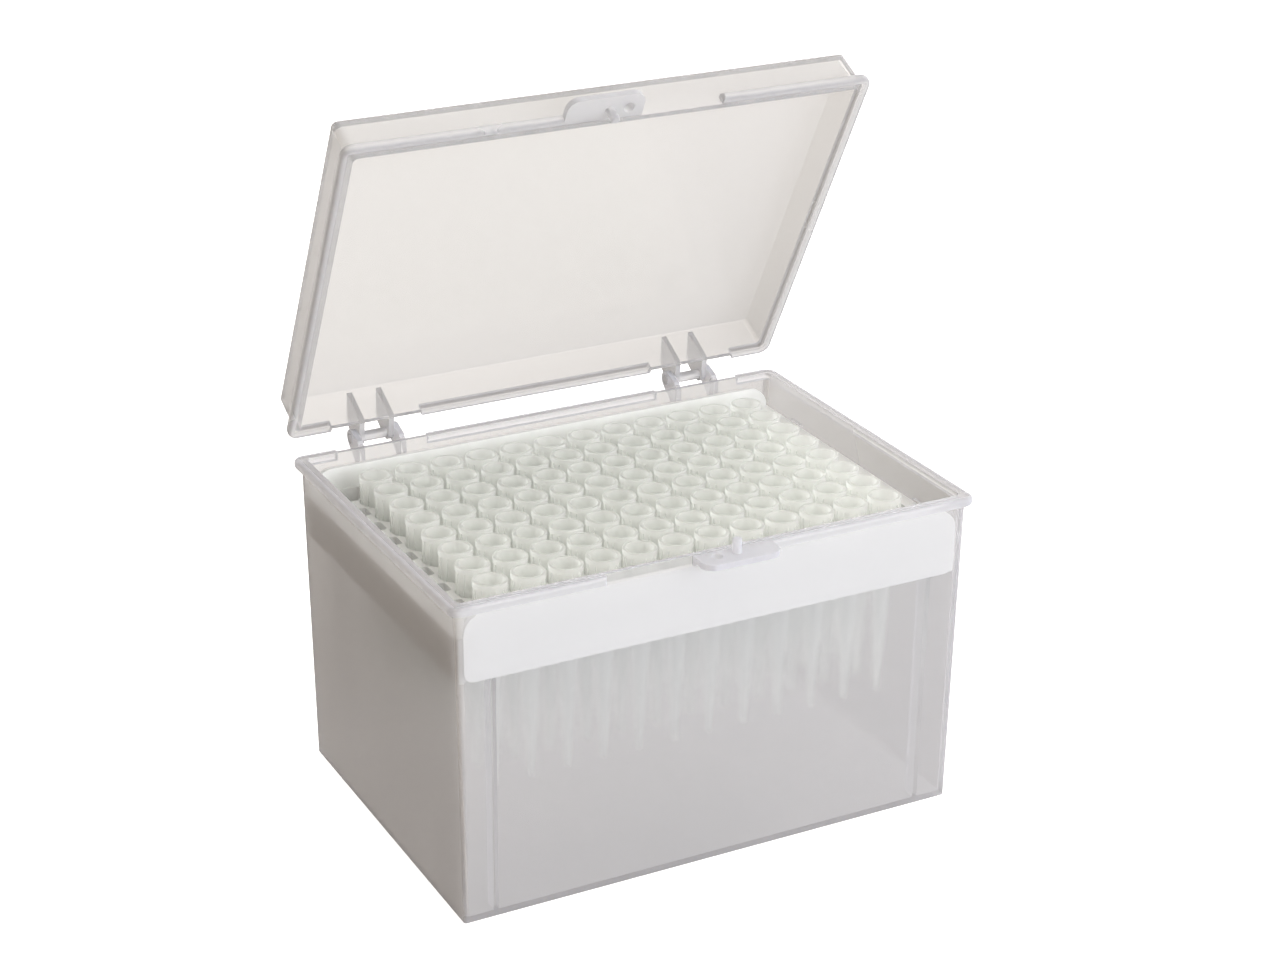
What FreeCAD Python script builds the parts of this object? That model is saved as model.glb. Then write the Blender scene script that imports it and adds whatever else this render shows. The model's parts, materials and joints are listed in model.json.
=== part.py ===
# Box of pipette tips: a hinged polypropylene box, a drop-in tray and 96 tips standing in it.
#
# Frame: millimetres, +Z up, origin at the centre of the underside of the box. +X runs along the
# long side, the latch is on the -Y side and the hinges are on the +Y side. The lid stands open.
# The lid is drawn closed about its own hinge axis, then turned open by its Placement.

import FreeCAD, Part
import math
import os

import Sketcher
from FreeCAD import Placement, Rotation, Vector

doc = FreeCAD.newDocument("PipetteTipBox")

# Driving dimensions: alias, value (mm, degrees or a count), meaning.
dimensions = [
    ("columns", 12, "tips along X"),
    ("rows", 8, "tips along Y"),
    ("pitch", 9.0, "spacing of the tips both ways"),
    ("endMargin", 12.4, "last tip's centre to the tray's end face, along X"),
    ("sideMargin", 11.36, "last tip's centre to the tray's side face, along Y"),
    ("boxHeight", 78.0, "underside to rim"),
    ("wall", 1.2, "walls of box and lid"),
    ("floorThick", 1.4, "floor of the box"),
    ("draft", 0.74, "how far each wall leans out from underside to rim"),
    ("cornerRadius", 0.8, "upright outer corners at the underside"),
    ("innerCorner", 0.5, "upright inner corners at the floor"),
    ("footRound", 0.5, "rounding of the underside's outer edge"),
    ("trayFit", 0.1, "gap between tray and wall at the tray's foot"),
    ("flangeThick", 2.2, "rim flange, of box and lid"),
    ("flangeReach", 1.6, "flange beyond the wall"),
    ("flangeCorner", 2.8, "flange corners in plan"),
    ("flangeRound", 0.8, "rounding of the flange's outer edges"),
    ("flangeEnd", 1.2, "rounding in plan where a flange run stops"),
    ("cutPast", 0.3, "how far a cut starts beyond the face that it opens"),
    ("ribInset", 7.3, "carrying rib's middle from the tray's end face"),
    ("ribThick", 1.2, "carrying rib"),
    ("ribDepth", 3.5, "carrying rib, in from the wall at its top"),
    ("bumpSpread", 55.0, "between the two snap bumps of one end wall"),
    ("bumpLength", 5.0, "snap bump along the wall"),
    ("bumpTall", 0.9, "snap bump's height"),
    ("bumpDepth", 0.45, "snap bump, in from the wall"),
    ("bumpSlope", 0.3, "height of the snap bump's lower slope and of its upper one"),
    ("hingeCentre", 42.5, "each hinge's middle from the box's middle"),
    ("hingeBay", 23.0, "run of rim without flange at each hinge"),
    ("axisReach", 5.1, "hinge axis beyond the wall's outer face at the rim"),
    ("axisRise", 0.3, "hinge axis above the rim"),
    ("pinDiameter", 2.5, "hinge pin, moulded with the lid"),
    ("pinFit", 0.06, "radial clearance of the pin in its posts"),
    ("pinProud", 0.2, "pin beyond the outer face of the posts"),
    ("postInner", 4.6, "post's inner face from the hinge's middle"),
    ("postThick", 1.4, "hinge post"),
    ("postRadius", 2.15, "round head of the post"),
    ("postLean", 43.0, "slope of the post's underside"),
    ("postFall", 19.0, "slope of the post's top"),
    ("postRelief", 0.7, "post's top kept clear of the lid's wall"),
    ("armGap", 0.2, "between a lid arm and the post beside it"),
    ("armThick", 1.3, "lid hinge arm"),
    ("armRadius", 1.75, "lid arm round the pin"),
    ("armTop", 9.1, "arm's top at the lid's wall, above the axis"),
    ("armFall", 24.7, "slope of the arm's top"),
    ("armShoulder", 3.2, "rounding of the arm's top outer corner"),
    ("lidHeight", 11.0, "lid from rim to outer face"),
    ("lidPlate", 1.6, "lid's plate"),
    ("lidDraft", 0.1, "how far each lid wall leans in"),
    ("lidGap", 0.1, "between the two rims when shut"),
    ("lidRound", 0.6, "rounding of the lid's outer edge"),
    ("openAngle", 62.0, "lid's opening as stored"),
    ("tabReach", 6.7, "latch tab beyond the wall"),
    ("tabThick", 1.4, "latch tab"),
    ("tabLength", 19.0, "latch tab along the front"),
    ("tabCorner", 2.9, "latch tab's outer corners"),
    ("tabBite", 0.6, "latch tab into the wall"),
    ("boxTabStart", -7.5, "box tab's left end"),
    ("lidTabStart", -13.5, "lid tab's left end"),
    ("boxBareStart", -28.6, "box flange stops here, left of its tab"),
    ("lidBareEnd", 26.0, "lid flange starts again here, right of its tab"),
    ("latchReach", 2.9, "peg and hole centres beyond the wall"),
    ("boxPegPlace", 1.85, "box peg and lid hole along the front"),
    ("lidPegPlace", -3.0, "lid peg and box hole along the front"),
    ("pegDiameter", 2.1, "latch pegs"),
    ("pegHeight", 3.5, "latch pegs"),
    ("pegRound", 0.5, "peg's end"),
    ("latchHole", 2.6, "latch holes"),
    ("bossDiameter", 4.4, "ring round a latch hole"),
    ("bossHeight", 0.8, "ring beyond its tab"),
    ("mouthDrop", 2.0, "tip mouths below the rim"),
    ("tipLength", 49.7, "tip, mouth to point"),
    ("mouthDiameter", 7.75, "tip's mouth ring"),
    ("mouthWall", 0.825, "tip's wall at the mouth"),
    ("mouthRound", 0.2, "rounding of the mouth ring"),
    ("ringHeight", 1.3, "tip's mouth ring"),
    ("collarRibDepth", 0.375, "mouth ring's outside to the collar between its ribs"),
    ("collarLength", 9.6, "mouth to the shoulder"),
    ("collarRibs", 12, "ribs round the collar"),
    ("collarRibWidth", 0.75, "collar rib"),
    ("collarRibSet", 0.03, "ribs inside the mouth ring"),
    ("collarRibRoot", 0.2, "ribs into the collar"),
    ("shoulderStep", 0.65, "collar between its ribs to the body below the shoulder"),
    ("bodyWall", 0.5, "tip's wall at the foot of the collar"),
    ("boreSeat", 1.0, "bore's bend below the shoulder"),
    ("pointDiameter", 1.0, "tip's point"),
    ("pointBore", 0.5, "bore at the point"),
    ("collarStand", 6.6, "collar above the deck"),
    ("socketFit", 0.15, "radial gap round the collar in its socket"),
    ("ledgeThick", 1.4, "ledge that the collar stands on"),
    ("coredHole", 2.4, "cored hole between four sockets"),
    ("skirtDrop", 10.4, "deck to the tray's foot"),
    ("skirtThick", 1.2, "tray's end skirts"),
    ("panelThick", 1.2, "tray's front and back panels"),
    ("panelInset", 0.6, "panel's end inside the tray's end face"),
    ("panelRise", 5.5, "panels above the deck"),
    ("panelTopCorner", 5.0, "panel's upper corners"),
    ("panelFootCorner", 2.5, "panel's lower corners"),
    ("slotLength", 4.4, "deck slot beside the sockets, along Y"),
    ("slotStart", 3.9, "slot's inner end past the last column"),
    ("slotRim", 3.4, "slot's outer end from the tray's end face"),
    ("slotRound", 0.8, "slot corners"),
    ("cornerStart", 0.5, "corner opening past the last column"),
    ("cornerFoot", 2.3, "corner opening past the last row, at its outer end"),
    ("cornerWeb", 1.05, "corner opening clear of the last socket"),
    ("cornerRim", 0.3, "corner opening short of the panel"),
    ("notchMargin", 0.5, "skirt notch wider than the snap bump, each side"),
    ("notchHeight", 0.8, "skirt notch"),
]

spec = doc.addObject("Spreadsheet::Sheet", "Spec")
for row, (alias, size, meaning) in enumerate(dimensions, start=1):
    spec.set(f"A{row}", alias)
    spec.set(f"B{row}", str(size))
    spec.set(f"C{row}", meaning)
    spec.setAlias(f"B{row}", alias)
doc.recompute()

# Derived sizes, as expressions in the driving dimensions.
lastX = "(Spec.columns - 1) * Spec.pitch / 2"
lastY = "(Spec.rows - 1) * Spec.pitch / 2"
trayX = f"({lastX} + Spec.endMargin)"
trayY = f"({lastY} + Spec.sideMargin)"
mouthZ = "(Spec.boxHeight - Spec.mouthDrop)"
deckZ = f"({mouthZ} - Spec.collarStand)"
seatZ = f"({deckZ} - Spec.skirtDrop)"
socketDepth = "(Spec.collarLength - Spec.collarStand)"
deckThick = f"({socketDepth} + Spec.ledgeThick)"
collarRadius = "(Spec.mouthDiameter / 2 - Spec.collarRibDepth)"
bodyRadius = f"({collarRadius} - Spec.shoulderStep)"
taper = "atan(Spec.draft / Spec.boxHeight)"


# Half-length and half-width of the box's outside at a height.
def outsideX(height):
    return f"({trayX} + Spec.trayFit + Spec.wall + Spec.draft * ({height} - {seatZ}) / Spec.boxHeight)"


def outsideY(height):
    return f"({trayY} + Spec.trayFit + Spec.wall + Spec.draft * ({height} - {seatZ}) / Spec.boxHeight)"


rimX = outsideX("Spec.boxHeight")
rimY = outsideY("Spec.boxHeight")
axisY = f"({rimY} + Spec.axisReach)"
axisZ = "(Spec.boxHeight + Spec.axisRise)"


# Present value of an expression, as a plain number.
def number(expression):
    result = spec.evalExpression(expression)
    return float(getattr(result, "Value", result))


def originPlane(body, role):
    return next(plane for plane in body.Origin.OriginFeatures if plane.Role == role)


# Sketch on one of the body's own origin planes, moved along that plane's normal.
# The normals are +Z on XY_Plane, -Y on XZ_Plane and +X on YZ_Plane.
def newSketch(body, name, role, offset="0"):
    sketch = body.newObject("Sketcher::SketchObject", name)
    sketch.AttachmentSupport = [(originPlane(body, role), "")]
    sketch.MapMode = "FlatFace"
    sketch.setExpression("AttachmentOffset.Base.z", offset)
    return sketch


# Ties a point of the sketch to its place.
def place(sketch, geometry, position, x, y):
    for kind, expression in (("DistanceX", x), ("DistanceY", y)):
        datum = Sketcher.Constraint(kind, -1, 1, geometry, position, number(expression))
        index = sketch.addConstraint(datum)
        sketch.setExpression(f"Constraints[{index}]", expression)


def circle(sketch, x, y, diameter):
    centre = Vector(number(x), number(y), 0)
    radius = number(diameter) / 2
    geometry = sketch.addGeometry(Part.Circle(centre, Vector(0, 0, 1), radius))
    place(sketch, geometry, 3, x, y)
    index = sketch.addConstraint(Sketcher.Constraint("Diameter", geometry, 2 * radius))
    sketch.setExpression(f"Constraints[{index}]", diameter)


# Arc that rounds a corner, with its two ends in the order in which the outline meets them.
def cornerArc(sketch, corner, back, ahead, radius, turnsLeft):
    half = back.getAngle(ahead) / 2
    centre = corner + (back + ahead).normalize() * (radius / math.sin(half))
    ends = [corner + direction * (radius / math.tan(half)) for direction in (back, ahead)]
    angles = [math.atan2(end.y - centre.y, end.x - centre.x) for end in ends]
    if not turnsLeft:
        angles.reverse()
    if angles[1] < angles[0]:
        angles[1] += 2 * math.pi
    ring = Part.Circle(centre, Vector(0, 0, 1), radius)
    return sketch.addGeometry(Part.ArcOfCircle(ring, *angles))


# Closed outline through corners given as (x, y) or (x, y, radius) expressions. A rounded corner
# keeps its sharp point in the sketch, as a construction point that the two sides pass through.
def outline(sketch, corners):
    count = len(corners)
    points = [Vector(number(corner[0]), number(corner[1]), 0) for corner in corners]
    radii = [number(corner[2]) if len(corner) > 2 else 0 for corner in corners]
    backs = [(points[i - 1] - points[i]).normalize() for i in range(count)]
    aheads = [(points[(i + 1) % count] - points[i]).normalize() for i in range(count)]
    setbacks = [
        radii[i] / math.tan(backs[i].getAngle(aheads[i]) / 2) if radii[i] else 0 for i in range(count)
    ]
    sides = []
    for i in range(count):
        after = (i + 1) % count
        start = points[i] + aheads[i] * setbacks[i]
        end = points[after] + backs[after] * setbacks[after]
        sides.append(sketch.addGeometry(Part.LineSegment(start, end)))
    for i, corner in enumerate(corners):
        before, after = sides[i - 1], sides[i]
        if not radii[i]:
            sketch.addConstraint(Sketcher.Constraint("Coincident", before, 2, after, 1))
            place(sketch, after, 1, corner[0], corner[1])
            continue
        turnsLeft = backs[i].cross(aheads[i]).z < 0
        arc = cornerArc(sketch, points[i], backs[i], aheads[i], radii[i], turnsLeft)
        entry, leave = (1, 2) if turnsLeft else (2, 1)
        sketch.addConstraint(Sketcher.Constraint("Tangent", before, 2, arc, entry))
        sketch.addConstraint(Sketcher.Constraint("Tangent", arc, leave, after, 1))
        index = sketch.addConstraint(Sketcher.Constraint("Radius", arc, radii[i]))
        sketch.setExpression(f"Constraints[{index}]", corner[2])
        sharp = sketch.addGeometry(Part.Point(points[i]), True)
        place(sketch, sharp, 1, corner[0], corner[1])
        sketch.addConstraint(Sketcher.Constraint("PointOnObject", sharp, 1, before))
        sketch.addConstraint(Sketcher.Constraint("PointOnObject", sharp, 1, after))


# Rectangle between two x and two y expressions, its corners rounded if a radius is given.
def rectangle(sketch, west, east, south, north, *radius):
    corners = [(west, south), (east, south), (east, north), (west, north)]
    outline(sketch, [corner + radius for corner in corners])


# Solid feature from a sketch: a pad along the sketch's normal, or a pocket against it.
def extrude(kind, body, sketch, length, taperAngle=None, turned=False):
    before = body.Shape.Volume if body.Tip else 0
    feature = body.newObject(f"PartDesign::{kind}", f"{sketch.Name}{kind}")
    feature.Profile = sketch
    feature.Reversed = turned
    feature.setExpression("Length", length)
    if taperAngle:
        feature.setExpression("TaperAngle", taperAngle)
    sketch.Visibility = False
    doc.recompute()
    gained = feature.Shape.Volume - before
    if gained == 0 or (gained > 0) != (kind == "Pad"):
        raise RuntimeError(f"{feature.Name} changes the volume by {gained:.3f} mm3")
    return feature


def pad(body, sketch, length, taperAngle=None, turned=False):
    return extrude("Pad", body, sketch, length, taperAngle, turned)


def pocket(body, sketch, length, taperAngle=None, turned=False):
    return extrude("Pocket", body, sketch, length, taperAngle, turned)


# Fillet on the edges of the body's last feature that pass a test.
def fillet(body, name, radius, test):
    base = body.Tip
    edges = [f"Edge{i}" for i, edge in enumerate(base.Shape.Edges, start=1) if test(edge)]
    feature = body.newObject("PartDesign::Fillet", name)
    feature.Base = (base, edges)
    feature.setExpression("Radius", radius)
    doc.recompute()


# Grid of some pockets along +X and +Y.
def grid(body, name, originals, columns, rows):
    feature = body.newObject("PartDesign::LinearPattern", name)
    feature.Originals = originals
    feature.Direction = (originPlane(body, "X_Axis"), [""])
    feature.Mode = "Spacing"
    feature.setExpression("Offset", "Spec.pitch")
    feature.setExpression("Occurrences", columns)
    feature.Direction2 = (originPlane(body, "Y_Axis"), [""])
    feature.Mode2 = "Extent"
    feature.setExpression("Length2", f"({rows} - 1) * Spec.pitch")
    feature.setExpression("Occurrences2", rows)
    body.Tip = feature
    doc.recompute()


def newBody(label):
    body = doc.addObject("PartDesign::Body", label)
    body.Label = label
    return body


def liesAt(edge, height):
    box = edge.BoundBox
    return abs(box.ZMin - height) < 1e-4 and abs(box.ZMax - height) < 1e-4


# Flange round a rim: a slab under or over the rim plane, its outer edges rounded. The cavity is
# cut through it afterwards. shift is how far the rim's middle lies behind the body's origin, here
# and in the three functions below.
def rimFlange(body, bottom, shift):
    sketch = newSketch(body, f"{body.Name}Flange", "XY_Plane", bottom)
    edgeX = f"({rimX} + Spec.flangeReach)"
    edgeY = f"({rimY} + Spec.flangeReach)"
    rectangle(sketch, f"-{edgeX}", edgeX, f"-{edgeY} - {shift}", f"{edgeY} - {shift}",
              "Spec.flangeCorner")
    pad(body, sketch, "Spec.flangeThick")
    low = number(bottom)
    high = low + number("Spec.flangeThick")
    beyondX = number(f"{rimX} + Spec.flangeReach / 2")
    beyondY = number(f"{rimY} + Spec.flangeReach / 2")
    centre = -number(shift)

    def outside(edge):
        middle = edge.BoundBox.Center
        atHeight = liesAt(edge, low) or liesAt(edge, high)
        return atHeight and (abs(middle.x) > beyondX or abs(middle.y - centre) > beyondY)

    fillet(body, f"{body.Name}FlangeRound", "Spec.flangeRound", outside)


# Takes the flange away along one run of a rim. side is the direction outward along Y; an end
# that stops a run of flange leaves it rounded in plan.
def bareRun(body, name, bottom, shift, side, west, east, roundWest=True, roundEast=True):
    sketch = newSketch(body, name, "XY_Plane", bottom)
    wallLine = f"{side} * {rimY} - {shift}"
    face = f"{side} * ({rimY} + Spec.flangeReach) - {shift}"
    clear = f"{side} * ({rimY} + Spec.flangeReach + Spec.cutPast) - {shift}"
    past = f"{side} * ({rimY} + 2 * Spec.flangeReach) - {shift}"
    eastSpread = f"{east} + 2 * Spec.flangeEnd"
    westSpread = f"{west} - 2 * Spec.flangeEnd"
    corners = [(west, wallLine), (east, wallLine)]
    if roundEast:
        corners += [(east, face, "Spec.flangeEnd"), (eastSpread, clear), (eastSpread, past)]
    else:
        corners += [(east, past)]
    if roundWest:
        corners += [(westSpread, past), (westSpread, clear), (west, face, "Spec.flangeEnd")]
    else:
        corners += [(west, past)]
    outline(sketch, corners)
    pocket(body, sketch, "Spec.flangeThick", turned=True)


# Latch tab on the front of a rim, with the hole that takes the other tab's peg and a ring round
# that hole on the tab's outer side, under it or on top of it.
def latchTab(body, bottom, shift, start, hole, ringUnder):
    sketch = newSketch(body, f"{body.Name}Tab", "XY_Plane", bottom)
    front = f"-({rimY} + Spec.tabReach) - {shift}"
    root = f"-({rimY} - Spec.tabBite) - {shift}"
    end = f"({start} + Spec.tabLength)"
    outline(sketch, [(start, root), (start, front, "Spec.tabCorner"), (end, front, "Spec.tabCorner"),
                     (end, root)])
    pad(body, sketch, "Spec.tabThick")

    across = f"-({rimY} + Spec.latchReach) - {shift}"
    ringFoot = bottom if ringUnder else f"{bottom} + Spec.tabThick"
    ring = newSketch(body, f"{body.Name}Ring", "XY_Plane", ringFoot)
    circle(ring, hole, across, "Spec.bossDiameter")
    pad(body, ring, "Spec.bossHeight", turned=ringUnder)
    holeFoot = f"{bottom} - Spec.bossHeight" if ringUnder else bottom
    opening = newSketch(body, f"{body.Name}Hole", "XY_Plane", holeFoot)
    circle(opening, hole, across, "Spec.latchHole")
    pocket(body, opening, "Spec.tabThick + Spec.bossHeight", turned=True)


# Latch peg standing on a tab, its end rounded.
def latchPeg(body, foot, shift, along, downward):
    sketch = newSketch(body, f"{body.Name}Peg", "XY_Plane", foot)
    circle(sketch, along, f"-({rimY} + Spec.latchReach) - {shift}", "Spec.pegDiameter")
    pad(body, sketch, "Spec.pegHeight", turned=downward)
    end = number(foot) + number("Spec.pegHeight") * (-1 if downward else 1)
    pegX = number(along)

    def atEnd(edge):
        return liesAt(edge, end) and abs(edge.BoundBox.Center.x - pegX) < 1e-3

    fillet(body, f"{body.Name}PegRound", "Spec.pegRound", atEnd)


# Base box: one moulding.
def makeBase():
    body = newBody("base_box")
    foot = newSketch(body, "Foot", "XY_Plane")
    footX, footY = outsideX("0"), outsideY("0")
    rectangle(foot, f"-{footX}", footX, f"-{footY}", footY, "Spec.cornerRadius")
    pad(body, foot, "Spec.boxHeight", taper)
    fillet(body, "FootRound", "Spec.footRound", lambda edge: liesAt(edge, 0))
    flangeBottom = "(Spec.boxHeight - Spec.flangeThick)"
    rimFlange(body, flangeBottom, "0")

    cavity = newSketch(body, "Cavity", "XY_Plane", "Spec.floorThick")
    insideX = f"({outsideX('Spec.floorThick')} - Spec.wall)"
    insideY = f"({outsideY('Spec.floorThick')} - Spec.wall)"
    rectangle(cavity, f"-{insideX}", insideX, f"-{insideY}", insideY, "Spec.innerCorner")
    pocket(body, cavity, "Spec.boxHeight", taper, turned=True)

    for name, side in (("LeftHingeBay", "-"), ("RightHingeBay", "")):
        middle = f"{side}Spec.hingeCentre"
        bareRun(body, name, flangeBottom, "0", "1", f"{middle} - Spec.hingeBay / 2",
                f"{middle} + Spec.hingeBay / 2")
    bareRun(body, "FrontBareRun", flangeBottom, "0", "-1", "Spec.boxBareStart", "Spec.boxTabStart",
            roundEast=False)

    makeCarryingRibs(body)
    makeSnapBumps(body)
    for side in (-1, 1):
        for hand in (-1, 1):
            makePost(body, side, hand)
    latchTab(body, "Spec.boxHeight - Spec.tabThick", "0", "Spec.boxTabStart", "Spec.lidPegPlace", True)
    latchPeg(body, "Spec.boxHeight", "0", "Spec.boxPegPlace", False)
    return body


# Four upright ribs inside the front and back walls; the tray's panels stand on their tops.
def makeCarryingRibs(body):
    sketch = newSketch(body, "CarryingRibs", "XY_Plane", "Spec.floorThick / 2")
    nearX = f"({trayX} - Spec.ribInset - Spec.ribThick / 2)"
    farX = f"({trayX} - Spec.ribInset + Spec.ribThick / 2)"
    nearY = f"({trayY} + Spec.trayFit - Spec.ribDepth)"
    farY = f"({trayY} + Spec.trayFit + Spec.wall / 6)"
    for south, north in ((f"-{farY}", f"-{nearY}"), (nearY, farY)):
        rectangle(sketch, f"-{farX}", f"-{nearX}", south, north)
        rectangle(sketch, nearX, farX, south, north)
    pad(body, sketch, f"{seatZ} - Spec.floorThick / 2")


# Small wedges on the end walls that the tray's deck snaps under.
def makeSnapBumps(body):
    foot = f"({deckZ} + Spec.trayFit)"
    wallX = f"({outsideX(foot)} - Spec.wall)"
    root = f"({wallX} + Spec.wall / 4)"
    face = f"({wallX} - Spec.bumpDepth)"
    top = f"({foot} + Spec.bumpTall)"
    heights = [foot, f"{foot} + Spec.bumpSlope", f"{top} - Spec.bumpSlope", top]
    for name, middle in (("FrontBumps", "-Spec.bumpSpread / 2"), ("BackBumps", "Spec.bumpSpread / 2")):
        sketch = newSketch(body, name, "XZ_Plane", f"-({middle} + Spec.bumpLength / 2)")
        outline(sketch, list(zip([root, face, face, root], heights)))
        outline(sketch, list(zip([f"-{root}", f"-{face}", f"-{face}", f"-{root}"], heights)))
        pad(body, sketch, "Spec.bumpLength")


# One hinge post: a thin bracket on the back wall with a round head about the hinge axis. The
# outer corner is where its two slopes would meet if the head weren't round.
def makePost(body, side, hand):
    name = f"Post{'Left' if side < 0 else 'Right'}{'Outer' if hand == side else 'Inner'}"
    nearFace = f"{side} * Spec.hingeCentre + {hand} * Spec.postInner"
    start = nearFace if hand > 0 else f"{nearFace} - Spec.postThick"
    sketch = newSketch(body, name, "YZ_Plane", start)
    root = f"({rimY} - Spec.wall / 2)"
    tipReach = "Spec.postRadius / sin((Spec.postLean - Spec.postFall) / 2)"
    bisector = "((Spec.postLean + Spec.postFall) / 2)"
    tipY = f"({axisY} + {tipReach} * cos({bisector}))"
    tipZ = f"({axisZ} + {tipReach} * sin({bisector}))"
    reliefY = f"({rimY} + Spec.postRelief)"
    outline(sketch, [
        (root, f"{tipZ} - ({tipY} - {root}) * tan(Spec.postLean)"),
        (tipY, tipZ, "Spec.postRadius"),
        (reliefY, f"{tipZ} - ({tipY} - {reliefY}) * tan(Spec.postFall)"),
        (root, "Spec.boxHeight - Spec.wall"),
    ])
    circle(sketch, axisY, axisZ, "Spec.pinDiameter + 2 * Spec.pinFit")
    pad(body, sketch, "Spec.postThick")


# Lid: one moulding, drawn shut with its origin on the hinge axis.
def makeLid():
    body = newBody("lid")
    rim = "(Spec.lidGap - Spec.axisRise)"
    plate = f"({rim} + Spec.lidHeight)"
    outer = newSketch(body, "LidRim", "XY_Plane", rim)
    rectangle(outer, f"-{rimX}", rimX, f"-{rimY} - {axisY}", f"{rimY} - {axisY}",
              "Spec.cornerRadius + Spec.draft")
    pad(body, outer, "Spec.lidHeight", "-atan(Spec.lidDraft / Spec.lidHeight)")
    top = number(plate)
    fillet(body, "LidRound", "Spec.lidRound", lambda edge: liesAt(edge, top))
    rimFlange(body, rim, axisY)

    cavity = newSketch(body, "LidCavity", "XY_Plane", rim)
    insideX = f"({rimX} - Spec.wall)"
    insideY = f"({rimY} - Spec.wall)"
    rectangle(cavity, f"-{insideX}", insideX, f"-{insideY} - {axisY}", f"{insideY} - {axisY}",
              "Spec.innerCorner + Spec.draft")
    pocket(body, cavity, "Spec.lidHeight - Spec.lidPlate", "-atan(Spec.lidDraft / Spec.lidHeight)",
           turned=True)

    for name, side in (("LidLeftBay", "-"), ("LidRightBay", "")):
        middle = f"{side}Spec.hingeCentre"
        bareRun(body, name, rim, axisY, "1", f"{middle} - Spec.hingeBay / 2",
                f"{middle} + Spec.hingeBay / 2")
    bareRun(body, "LidFrontBareRun", rim, axisY, "-1", "Spec.lidTabStart + Spec.tabLength",
            "Spec.lidBareEnd", roundWest=False)

    latchTab(body, rim, axisY, "Spec.lidTabStart", "Spec.boxPegPlace", False)
    latchPeg(body, rim, axisY, "Spec.lidPegPlace", True)
    for side in (-1, 1):
        for hand in (-1, 1):
            makeArm(body, side, hand)
        makePin(body, side)

    body.Placement = Placement(Vector(0, 0, 0), Rotation(Vector(1, 0, 0), -1))
    body.setExpression("Placement.Base.y", axisY)
    body.setExpression("Placement.Base.z", axisZ)
    body.setExpression("Placement.Rotation.Angle", "-Spec.openAngle")
    return body


# One hinge arm: a thin fin on the lid's back wall that carries the pin. Its underside runs from
# the wall, at the axis's height, down to touch the round of the barrel.
def makeArm(body, side, hand):
    name = f"Arm{'Left' if side < 0 else 'Right'}{'Outer' if hand == side else 'Inner'}"
    outerFace = f"{side} * Spec.hingeCentre + {hand} * (Spec.postInner - Spec.armGap)"
    start = outerFace if hand < 0 else f"{outerFace} - Spec.armThick"
    sketch = newSketch(body, name, "YZ_Plane", start)
    root = "(-Spec.axisReach - Spec.wall / 2)"
    heel = "sqrt((Spec.axisReach + Spec.armRadius) / (Spec.axisReach - Spec.armRadius))"
    outline(sketch, [
        (root, "Spec.wall / 2"),
        ("-Spec.axisReach", "0"),
        ("Spec.armRadius", f"-Spec.armRadius * {heel}", "Spec.armRadius"),
        ("Spec.armRadius", "Spec.armTop - (Spec.axisReach + Spec.armRadius) * tan(Spec.armFall)",
         "Spec.armShoulder"),
        (root, "Spec.armTop + Spec.wall / 2 * tan(Spec.armFall)"),
    ])
    pad(body, sketch, "Spec.armThick")


# One hinge pin: runs through both arms and out through both posts.
def makePin(body, side):
    half = "(Spec.postInner + Spec.postThick + Spec.pinProud)"
    sketch = newSketch(body, f"Pin{'Left' if side < 0 else 'Right'}", "YZ_Plane",
                       f"{side} * Spec.hingeCentre - {half}")
    circle(sketch, "0", "0", "Spec.pinDiameter")
    pad(body, sketch, f"2 * {half}")


# Tip tray: one moulding with stepped sockets, standing on its panels.
def makeTray():
    body = newBody("tip_tray")
    deck = newSketch(body, "Deck", "XY_Plane", f"{deckZ} - {deckThick}")
    betweenY = f"({trayY} - Spec.panelThick / 2)"
    rectangle(deck, f"-{trayX}", trayX, f"-{betweenY}", betweenY)
    pad(body, deck, deckThick)

    skirts = newSketch(body, "Skirts", "XY_Plane", seatZ)
    rectangle(skirts, f"-{trayX}", f"-({trayX} - Spec.skirtThick)", f"-{betweenY}", betweenY)
    rectangle(skirts, f"{trayX} - Spec.skirtThick", trayX, f"-{betweenY}", betweenY)
    pad(body, skirts, "Spec.skirtDrop")

    panelEnd = f"({trayX} - Spec.panelInset)"
    panelTop = f"({deckZ} + Spec.panelRise)"
    for name, offset in (("FrontPanel", f"{trayY} - Spec.panelThick"), ("BackPanel", f"-{trayY}")):
        panel = newSketch(body, name, "XZ_Plane", offset)
        outline(panel, [
            (f"-{panelEnd}", seatZ, "Spec.panelFootCorner"),
            (panelEnd, seatZ, "Spec.panelFootCorner"),
            (panelEnd, panelTop, "Spec.panelTopCorner"),
            (f"-{panelEnd}", panelTop, "Spec.panelTopCorner"),
        ])
        pad(body, panel, "Spec.panelThick")

    makeSockets(body)
    makeDeckOpenings(body)
    makeNotches(body)
    return body


# Stepped sockets, one under each tip, and cored holes between them.
def makeSockets(body):
    socket = newSketch(body, "Socket", "XY_Plane", deckZ)
    circle(socket, f"-{lastX}", f"-{lastY}", "Spec.mouthDiameter + 2 * Spec.socketFit")
    well = pocket(body, socket, socketDepth)
    ledge = newSketch(body, "LedgeHole", "XY_Plane", f"{deckZ} - {socketDepth}")
    circle(ledge, f"-{lastX}", f"-{lastY}", f"2 * ({bodyRadius} + Spec.socketFit)")
    hole = pocket(body, ledge, "Spec.ledgeThick")
    grid(body, "Sockets", [well, hole], "Spec.columns", "Spec.rows")
    core = newSketch(body, "CoredHole", "XY_Plane", deckZ)
    circle(core, f"Spec.pitch / 2 - {lastX}", f"Spec.pitch / 2 - {lastY}", "Spec.coredHole")
    coring = pocket(body, core, deckThick)
    grid(body, "CoredHoles", [coring], "Spec.columns - 1", "Spec.rows - 1")


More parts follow.
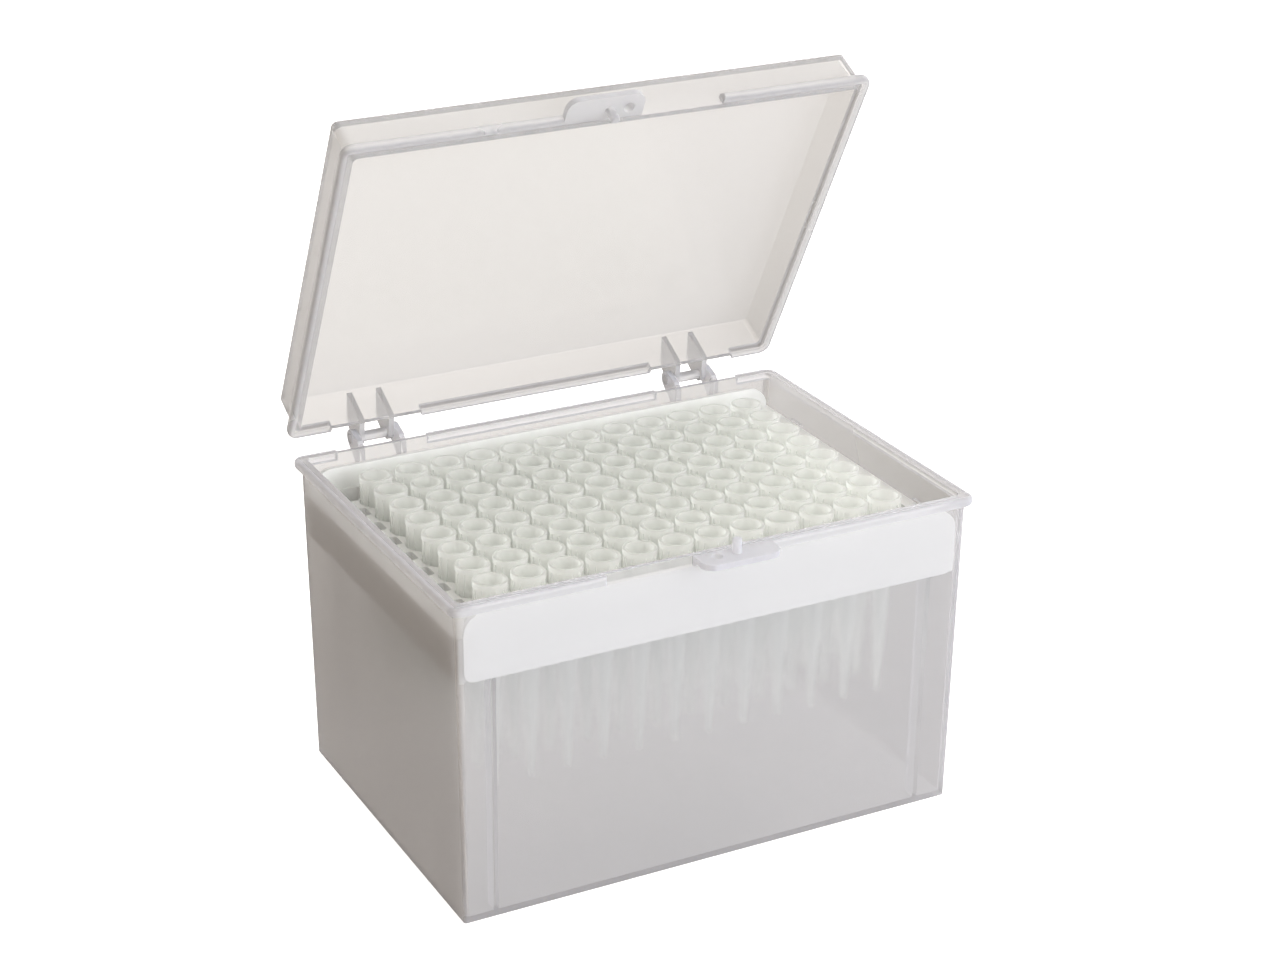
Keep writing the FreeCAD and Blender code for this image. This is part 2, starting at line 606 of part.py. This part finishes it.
# Slots along both ends of the deck, between the rows, and a larger opening at each corner.
def makeDeckOpenings(body):
    slotEnd = f"({trayX} - Spec.slotRim)"
    slots = newSketch(body, "Slot", "XY_Plane", deckZ)
    south = f"Spec.pitch / 2 - {lastY} - Spec.slotLength / 2"
    north = f"Spec.pitch / 2 - {lastY} + Spec.slotLength / 2"
    inner = f"({lastX} + Spec.slotStart)"
    rectangle(slots, f"-{slotEnd}", f"-{inner}", south, north, "Spec.slotRound")
    rectangle(slots, inner, slotEnd, south, north, "Spec.slotRound")
    slot = pocket(body, slots, deckThick)
    grid(body, "Slots", [slot], "1", "Spec.rows - 1")

    corners = newSketch(body, "CornerOpenings", "XY_Plane", deckZ)
    nearX = f"({lastX} + Spec.cornerStart)"
    footY = f"({lastY} + Spec.cornerFoot)"
    topY = f"({trayY} - Spec.panelThick - Spec.cornerRim)"
    sideY = f"({lastY} + Spec.mouthDiameter / 2 + Spec.socketFit + Spec.cornerWeb)"
    for signX in (-1, 1):
        for signY in (-1, 1):
            shape = [(slotEnd, footY), (slotEnd, topY), (nearX, topY), (nearX, sideY), (inner, footY)]
            outline(corners, [(f"{signX} * {x}", f"{signY} * {y}", "Spec.slotRound") for x, y in shape])
    pocket(body, corners, deckThick)


# Notches in the feet of the skirts, below the snap bumps, that let the tray past them.
def makeNotches(body):
    notches = newSketch(body, "Notches", "XY_Plane", seatZ)
    half = "(Spec.bumpLength / 2 + Spec.notchMargin)"
    for middle in ("-Spec.bumpSpread / 2", "Spec.bumpSpread / 2"):
        rectangle(notches, f"-{trayX} - Spec.cutPast", f"-({trayX} - Spec.skirtThick)",
                  f"{middle} - {half}", f"{middle} + {half}")
        rectangle(notches, f"{trayX} - Spec.skirtThick", f"{trayX} + Spec.cutPast",
                  f"{middle} - {half}", f"{middle} + {half}")
    pocket(body, notches, "Spec.notchHeight", turned=True)


# Pipette tip: hollow, with its origin at the middle of its mouth and its point along -Z.
def makeTip():
    body = newBody("tip")
    profile = newSketch(body, "TipProfile", "XZ_Plane")
    ring, shoulder, point = "-Spec.ringHeight", "-Spec.collarLength", "-Spec.tipLength"
    outline(profile, [
        ("Spec.mouthDiameter / 2 - Spec.mouthWall", "0", "Spec.mouthRound"),
        (f"{bodyRadius} - Spec.bodyWall", f"{shoulder} - Spec.boreSeat"),
        ("Spec.pointBore / 2", point),
        ("Spec.pointDiameter / 2", point),
        (bodyRadius, shoulder),
        (collarRadius, shoulder),
        (collarRadius, ring),
        ("Spec.mouthDiameter / 2", ring),
        ("Spec.mouthDiameter / 2", "0", "Spec.mouthRound"),
    ])
    turned = body.newObject("PartDesign::Revolution", "TipTurned")
    turned.Profile = profile
    turned.ReferenceAxis = (profile, ["V_Axis"])
    turned.Angle = 360
    doc.recompute()

    ribSketch = newSketch(body, "CollarRib", "XY_Plane", shoulder)
    rectangle(ribSketch, f"{collarRadius} - Spec.collarRibRoot",
              "Spec.mouthDiameter / 2 - Spec.collarRibSet", "-Spec.collarRibWidth / 2",
              "Spec.collarRibWidth / 2")
    rib = pad(body, ribSketch, "Spec.collarLength - Spec.ringHeight")
    ribs = body.newObject("PartDesign::PolarPattern", "CollarRibs")
    ribs.Originals = [rib]
    ribs.Axis = (originPlane(body, "Z_Axis"), [""])
    ribs.Angle = 360
    ribs.setExpression("Occurrences", "Spec.collarRibs")
    body.Tip = ribs
    doc.recompute()
    return body


# Tips of two neighbouring rows in one column, standing in their sockets. Rows have letters from
# the back, columns have numbers from the left.
def makePair(tip, column, row):
    links = []
    letters = ""
    for behind in (0, 1):
        link = doc.addObject("App::Link", f"tip_{column + 1}_{row + behind + 1}")
        link.LinkedObject = tip
        link.setExpression("Placement.Base.x", f"{column} * Spec.pitch - {lastX}")
        link.setExpression("Placement.Base.y", f"{lastY} - {row + behind} * Spec.pitch")
        link.setExpression("Placement.Base.z", mouthZ)
        letters += chr(ord("a") + row + behind)
        links.append(link)
    pair = doc.addObject("Part::Compound", f"tips_{column + 1:02d}_{letters}")
    pair.Label = pair.Name
    pair.Links = links
    return pair


base = makeBase()
lid = makeLid()
tray = makeTray()
tip = makeTip()
columns = int(number("Spec.columns"))
rows = int(number("Spec.rows"))
pairs = [makePair(tip, column, row) for column in range(columns) for row in range(0, rows, 2)]
doc.recompute()

for item in doc.Objects:
    if "Invalid" in item.State or "Error" in item.State:
        raise RuntimeError(f"{item.Name} failed: {item.State}")

nodes = [base, lid, tray] + pairs
for node in nodes:
    if node.Shape.isNull() or not node.Shape.isValid():
        raise RuntimeError(f"{node.Label} has no valid shape")

os.makedirs("parts", exist_ok=True)
for node in nodes:
    node.Shape.exportStep(f"parts/{node.Label}.step")
    box = node.Shape.BoundBox
    print(f"{node.Label}: {len(node.Shape.Solids)} solid, {node.Shape.Volume / 1000:.3f} cm3, "
          f"x {box.XMin:.2f} to {box.XMax:.2f}, y {box.YMin:.2f} to {box.YMax:.2f}, "
          f"z {box.ZMin:.2f} to {box.ZMax:.2f}")
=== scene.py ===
# Box of pipette tips in frosted polypropylene: the finish of every piece, the studio and the camera.
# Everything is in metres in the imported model's own frame: +Z up, latch towards -Y, hinges towards +Y.
import json
import math

import bpy
from mathutils import Matrix, Vector

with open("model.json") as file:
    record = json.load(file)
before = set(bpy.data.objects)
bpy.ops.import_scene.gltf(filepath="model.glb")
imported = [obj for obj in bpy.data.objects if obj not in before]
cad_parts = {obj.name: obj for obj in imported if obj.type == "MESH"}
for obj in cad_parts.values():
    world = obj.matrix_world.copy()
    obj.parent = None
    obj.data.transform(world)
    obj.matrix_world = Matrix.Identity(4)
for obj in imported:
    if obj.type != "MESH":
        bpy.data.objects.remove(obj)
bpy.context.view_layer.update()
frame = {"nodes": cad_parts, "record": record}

nodes = frame["nodes"]
scene = bpy.context.scene
print("frame loaded:", len(nodes), "nodes")


class Signal:
    # One output socket that Python's operators work on. Numbers stay plain until they meet a socket.
    def __init__(self, graph, socket):
        self.graph = graph
        self.socket = socket

    def maths(self, operation, *values):
        return self.graph.node("ShaderNodeMath", {"operation": operation}, dict(enumerate(values)))

    def __add__(self, other):
        return self.maths("ADD", self, other)

    def __sub__(self, other):
        return self.maths("SUBTRACT", self, other)

    def __rsub__(self, other):
        return self.maths("SUBTRACT", other, self)

    def __mul__(self, other):
        return self.maths("MULTIPLY", self, other)

    def __abs__(self):
        return self.maths("ABSOLUTE", self)

    def larger(self, other):
        return self.maths("MAXIMUM", self, other)

    __radd__ = __add__
    __rmul__ = __mul__


class Graph:
    # The nodes of a material or of the world, made one call at a time.
    def __init__(self, owner):
        owner.use_nodes = True
        self.tree = owner.node_tree
        self.tree.nodes.clear()

    # settings are the node's own properties, inputs its sockets' values or links.
    def node(self, kind, settings=None, inputs=None, output=0):
        made = self.tree.nodes.new(kind)
        for name, value in (settings or {}).items():
            setattr(made, name, value)
        for name, value in (inputs or {}).items():
            if isinstance(value, Signal):
                self.tree.links.new(value.socket, made.inputs[name])
            else:
                made.inputs[name].default_value = value
        return Signal(self, made.outputs[output]) if made.outputs else made

    def dot(self, first, second):
        return self.node("ShaderNodeVectorMath", {"operation": "DOT_PRODUCT"}, {0: first, 1: second}, "Value")

    def ramp(self, value, low, high):  # 0 up to low, 1 from high, smooth in between
        limits = {"Value": value, "From Min": low, "From Max": high}
        return self.node("ShaderNodeMapRange", {"interpolation_type": "SMOOTHSTEP"}, limits)

    def noise(self, place, scale, detail):
        return self.node("ShaderNodeTexNoise", {}, {"Vector": place, "Scale": scale, "Detail": detail})

    def mixColour(self, factor, first, second, blend="MIX"):  # sockets 6 and 7 are the two colours
        settings = {"data_type": "RGBA", "blend_type": blend}
        return self.node("ShaderNodeMix", settings, {0: factor, 6: first, 7: second}, 2)

    def mixShader(self, factor, first, second):
        return self.node("ShaderNodeMixShader", {}, {0: factor, 1: first, 2: second})


def newMaterial(name):
    material = bpy.data.materials.new(name)
    return material, Graph(material)


# What stands out past halfLength and halfWidth from the middle is thicker, so rougher and milkier.
proud = {"halfLength": 0.0634, "halfWidth": 0.0444, "blur": 0.0003, "roughness": 0.1, "haze": 0.26}


# 0 on the walls and 1 on what stands out of them: rim flange, latch tab, posts and arms.
# along is the direction from the hinges to the latch, and middle the piece's middle that way.
def proudShare(graph, place, along, middle):
    sideways = abs(graph.node("ShaderNodeSeparateXYZ", {}, {"Vector": place}, "X")) - proud["halfLength"]
    lengthways = abs(graph.dot(place, along) - middle) - proud["halfWidth"]
    return graph.ramp(sideways.larger(lengthways), 0.0, proud["blur"])


# Shared by all four looks. The ripple is the mould's faint unevenness, and edgeBlend the gloss curve.
resin = {
    "refraction": 1.49, "hazeRoughness": 0.4, "edgeBlend": 0.5, "cloudDetail": 3, "cloudMiddle": 0.5,
    "rippleScale": 60, "rippleDetail": 1, "rippleDepth": 0.0001,
}


# Clear plastic with a milky share in it, haze, which grows by edgeHaze where a wall is seen edge on.
# backShare of the haze throws light back and the rest lets it through. Shadows let shadowShare past.
def polypropylene(name, look, along=None, middle=0):
    material, graph = newMaterial(name)
    place = graph.node("ShaderNodeTexCoord", {}, {}, "Object")
    cloud = graph.noise(place, look["cloudScale"], resin["cloudDetail"])
    ripple = graph.noise(place, resin["rippleScale"], resin["rippleDetail"])
    edgeOn = graph.node("ShaderNodeLayerWeight", {}, {"Blend": resin["edgeBlend"]}, "Facing")
    colour = graph.mixColour(cloud, (*look["colourLow"], 1), (*look["colourHigh"], 1))
    rough = look["roughness"] + (cloud - resin["cloudMiddle"]) * look["roughnessSpread"]
    milky = look["haze"] + look["edgeHaze"] * edgeOn * edgeOn
    if along:
        thick = proudShare(graph, place, along, middle)
        rough = rough + thick * proud["roughness"]
        milky = milky + thick * proud["haze"]
    bump = graph.node("ShaderNodeBump", {}, {
        "Strength": look["ripple"], "Distance": resin["rippleDepth"], "Height": ripple,
    })
    clear = graph.node("ShaderNodeBsdfPrincipled", {}, {
        "Base Color": colour, "Roughness": rough, "IOR": resin["refraction"],
        "Transmission Weight": look["transmission"], "Normal": bump,
    })
    through = graph.node("ShaderNodeBsdfTranslucent", {}, {"Color": (*look["throughColour"], 1)})
    back = graph.node("ShaderNodeBsdfPrincipled", {}, {
        "Base Color": (*look["backColour"], 1), "Roughness": resin["hazeRoughness"],
        "IOR": resin["refraction"], "Normal": bump,
    })
    frosted = graph.mixShader(milky, clear, graph.mixShader(look["backShare"], through, back))
    shadowRay = graph.node("ShaderNodeLightPath", {}, {}, "Is Shadow Ray")
    passed = graph.node("ShaderNodeBsdfTransparent", {}, {"Color": (*look["shadowTint"], 1)})
    surface = graph.mixShader(shadowRay * look["shadowShare"], frosted, passed)
    graph.node("ShaderNodeOutputMaterial", {}, {"Surface": surface})
    return material


def dress(names, material):
    for name in names:
        nodes[name].data.materials.clear()
        nodes[name].data.materials.append(material)


boxLook = {
    "colourLow": (0.94, 0.935, 0.93), "colourHigh": (0.955, 0.95, 0.945), "cloudScale": 30,
    "throughColour": (0.93, 0.90, 0.87), "backColour": (0.82, 0.86, 0.98), "backShare": 0.6,
    "haze": 0.06, "edgeHaze": 0.46, "transmission": 0.88,
    "roughness": 0.18, "roughnessSpread": 0.03, "ripple": 0.1,
    "shadowTint": (0.9, 0.9, 0.9), "shadowShare": 0.8,
}
dress(["base_box"], polypropylene("boxPlastic", boxLook, (0, -1, 0)))

lidLook = {
    **boxLook,
    "colourLow": (0.925, 0.92, 0.915), "colourHigh": (0.94, 0.935, 0.93),
    "throughColour": (0.80, 0.785, 0.775), "backColour": (0.74, 0.765, 0.83),
    "haze": 0.03, "edgeHaze": 0.5, "roughness": 0.17, "shadowShare": 0.5,
}
# The lid stands open, so its own direction from hinges to latch leans up by how far it is open.
hinge = frame["record"]["behaviour"]["joints"][0]
lidAngle = math.radians(180 + hinge["range_deg"][0])
lidAlong = Vector((0, math.cos(lidAngle), math.sin(lidAngle)))
lidMiddle = lidAlong.dot(Vector(hinge["pos_m"])) + hinge["pos_m"][1]
dress(["lid"], polypropylene("lidPlastic", lidLook, lidAlong, lidMiddle))

trayLook = {
    "colourLow": (0.965, 0.975, 0.955), "colourHigh": (0.975, 0.98, 0.965), "cloudScale": 30,
    "throughColour": (0.90, 0.93, 0.90), "backColour": (0.93, 0.95, 0.93), "backShare": 0.0,
    "haze": 0.05, "edgeHaze": 0.0, "transmission": 0.05,
    "roughness": 0.3, "roughnessSpread": 0.06, "ripple": 0.15,
    "shadowTint": (0.7, 0.72, 0.7), "shadowShare": 0.2,
}
dress(["tip_tray"], polypropylene("trayPlastic", trayLook))

tipLook = {
    "colourLow": (0.98, 0.985, 0.975), "colourHigh": (0.99, 0.995, 0.985), "cloudScale": 60,
    "throughColour": (0.96, 0.97, 0.955), "backColour": (0.925, 0.935, 0.92), "backShare": 0.1,
    "haze": 0.55, "edgeHaze": 0.0, "transmission": 0.8,
    "roughness": 0.4, "roughnessSpread": 0.04, "ripple": 0.05,
    "shadowTint": (0.96, 0.97, 0.95), "shadowShare": 0.75,
}
dress([name for name in nodes if name.startswith("tips_")], polypropylene("tipPlastic", tipLook))
print("finishes done")


floorLook = {"half": 6.0, "colour": (0.95, 0.95, 0.95), "roughness": 0.8, "glow": 0.75}


# The floor shows only to the camera, and neither lights the object nor shows through it.
def makeFloor():
    half = floorLook["half"]
    corners = [(-half, -half, 0), (half, -half, 0), (half, half, 0), (-half, half, 0)]
    mesh = bpy.data.meshes.new("floor")
    mesh.from_pydata(corners, [], [(0, 1, 2, 3)])
    floor = bpy.data.objects.new("floor", mesh)
    scene.collection.objects.link(floor)
    material, graph = newMaterial("floorPaper")
    paper = graph.node("ShaderNodeBsdfPrincipled", {}, {
        "Base Color": (*floorLook["colour"], 1), "Roughness": floorLook["roughness"],
        "Emission Color": (1, 1, 1, 1), "Emission Strength": floorLook["glow"],
    })
    graph.node("ShaderNodeOutputMaterial", {}, {"Surface": paper})
    mesh.materials.append(material)
    floor.visible_diffuse = False
    floor.visible_transmission = False
    floor.visible_glossy = False


# Each glow is the direction it comes from, the colour it adds, and two cosines from that direction:
# where it starts to show and where it is full.
tent = {
    "colour": (0.138, 0.112, 0.088),
    "glows": [
        ((0.45, -0.3, 1.0), (0.56, 0.56, 0.56), 0.35, 0.95),      # above
        ((0.5, -1.0, -0.25), (0.69, 0.71, 0.775), 0.4, 0.9),      # front
        ((1.0, 0.1, 0.55), (0.56, 0.54, 0.51), 0.3, 0.95),        # right
        ((0.12, 1.0, 0.42), (0.90, 0.88, 0.855), 0.53, 0.72),     # behind the lid
        ((-1.0, 0.0, -0.1), (0.36, 0.315, 0.27), 0.3, 0.9),       # left
    ],
}


def makeTent():
    world = bpy.data.worlds.new("tent")
    scene.world = world
    graph = Graph(world)
    direction = graph.node("ShaderNodeTexCoord", {}, {}, "Generated")
    colour = (*tent["colour"], 1)
    for towards, glow, edge, full in tent["glows"]:
        share = graph.ramp(graph.dot(direction, Vector(towards).normalized()), edge, full)
        colour = graph.mixColour(share, colour, (*glow, 1), "ADD")
    sky = graph.node("ShaderNodeBackground", {}, {"Color": colour})
    graph.node("ShaderNodeOutputWorld", {}, {"Surface": sky})


softbox = {
    "place": (0.5, -1.0, 0.28), "target": (0, 0, 0.06), "width": 1.3, "height": 0.54,
    "power": 12.0, "colour": (0.94, 0.95, 0.98),
}


# The softbox lights the front but is never seen, so it doesn't white out what lies through the box.
def makeSoftbox():
    data = bpy.data.lights.new("softbox", "AREA")
    data.shape = "RECTANGLE"
    data.size = softbox["width"]
    data.size_y = softbox["height"]
    data.energy = softbox["power"]
    data.color = softbox["colour"]
    light = bpy.data.objects.new("softbox", data)
    scene.collection.objects.link(light)
    light.location = softbox["place"]
    aim = Vector(softbox["target"]) - Vector(softbox["place"])
    light.rotation_euler = aim.to_track_quat("-Z", "Y").to_euler()
    light.visible_camera = False
    light.visible_transmission = False
    light.visible_glossy = False


makeFloor()
makeTent()
makeSoftbox()
print("studio done")

# Angles are in degrees: turn about the upright, down from level, and roll about the line of sight.
view = {
    "place": (-0.2587, -0.4924, 0.3173), "turn": -26.561, "down": 24.731, "roll": -0.123,
    "lens": 74.1, "shiftRight": 0.0475, "shiftUp": 0.0494,
}


def makeCamera():
    data = bpy.data.cameras.new("camera")
    data.lens = view["lens"]
    data.shift_x = view["shiftRight"]
    data.shift_y = view["shiftUp"]
    camera = bpy.data.objects.new("camera", data)
    scene.collection.objects.link(camera)
    turn = Matrix.Rotation(math.radians(view["turn"]), 3, "Z")
    tilt = Matrix.Rotation(math.radians(90 - view["down"]), 3, "X")
    roll = Matrix.Rotation(math.radians(view["roll"]), 3, "Z")
    camera.location = view["place"]
    camera.rotation_euler = (turn @ tilt @ roll).to_euler()
    bpy.context.scene.camera = camera


makeCamera()
bounces = {"all": 24, "transmission": 20, "transparent": 48}  # enough to cross the tips behind the walls
scene.view_settings.view_transform = "Standard"
scene.cycles.max_bounces = bounces["all"]
scene.cycles.transmission_bounces = bounces["transmission"]
scene.cycles.transparent_max_bounces = bounces["transparent"]

print("camera done")
